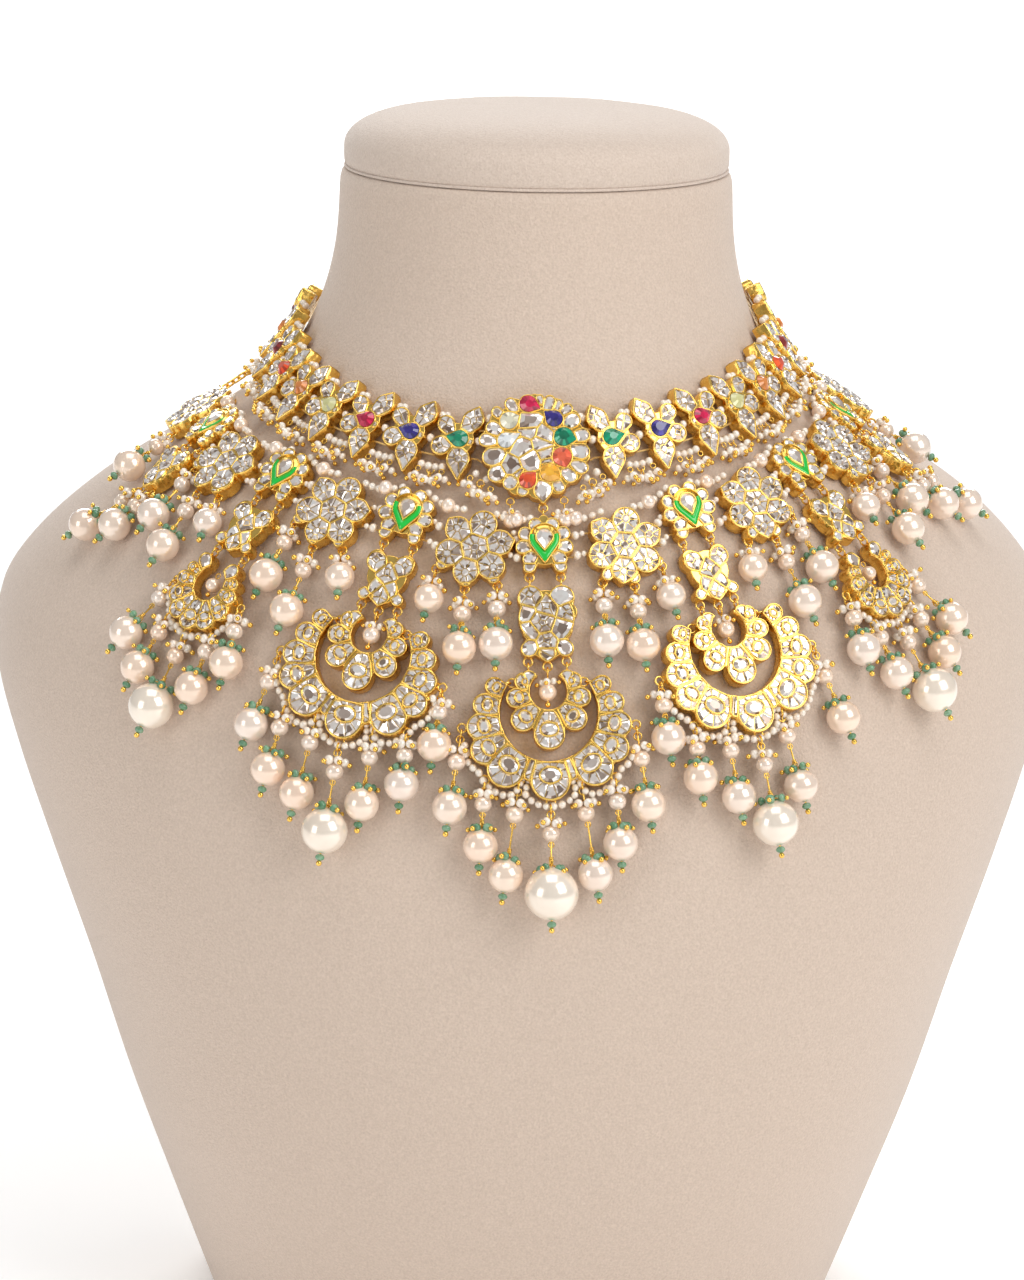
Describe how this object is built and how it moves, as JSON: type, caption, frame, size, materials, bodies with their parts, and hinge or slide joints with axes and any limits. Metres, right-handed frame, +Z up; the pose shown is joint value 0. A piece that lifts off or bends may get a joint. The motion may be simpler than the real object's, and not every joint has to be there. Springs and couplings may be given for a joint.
{
  "type": "kundan necklace on a neck bust",
  "caption": "Gem-set choker and festoon necklace with crescent pendants and pearl drops, worn by a plain fabric-covered neck bust.",
  "frame": {"origin": "middle of the bust's flat base", "axes": "+Z up, -Y to the front where the necklace hangs, +X to the right as the picture shows it"},
  "size_m": [0.3204, 0.1983, 0.364],
  "materials": {
    "bust_cloth": "short velvet pile",
    "cap_cloth": "short velvet pile",
    "gold": "polished, lightly hammered",
    "ruby": "polished stone",
    "emerald": "polished stone",
    "pearl": "pearl lustre",
    "thread": "twisted thread"
  },
  "bodies": {
    "root": {"bust": "bust_cloth", "bust_cap": "cap_cloth", "centre_plaque": "gold", "centre_gems": "ruby", "link_left_1": "gold", "link_left_2": "gold", "link_left_3": "gold", "link_left_4": "gold", "link_left_5": "gold", "link_left_6": "gold", "link_left_7": "gold", "link_left_8": "gold", "link_left_9": "gold", "link_right_1": "gold", "link_right_2": "gold", "link_right_3": "gold", "link_right_4": "gold", "link_right_5": "gold", "link_right_6": "gold", "link_right_7": "gold", "link_right_8": "gold", "link_right_9": "gold", "link_gems": "emerald", "flower_centre": "gold", "rosette_left_1": "gold", "flower_left_2": "gold", "rosette_left_3": "gold", "flower_left_4": "gold", "rosette_left_5": "gold", "flower_left_6": "gold", "rosette_left_7": "gold", "rosette_right_1": "gold", "flower_right_2": "gold", "rosette_right_3": "gold", "flower_right_4": "gold", "rosette_right_5": "gold", "flower_right_6": "gold", "rosette_right_7": "gold", "connector_centre": "gold", "connector_left_1": "gold", "connector_left_2": "gold", "connector_left_3": "gold", "connector_right_1": "gold", "connector_right_2": "gold", "connector_right_3": "gold", "chandbali_centre": "gold", "chandbali_left": "gold", "chandbali_right": "gold", "crescent_left": "gold", "crescent_right": "gold", "drop_pearls": "pearl", "small_pearls": "pearl", "drop_wires": "gold", "choker_threads": "thread", "row_threads": "thread", "choker_tails": "gold", "row_tails": "gold", "clasp": "gold"}
  },
  "joints": []
}
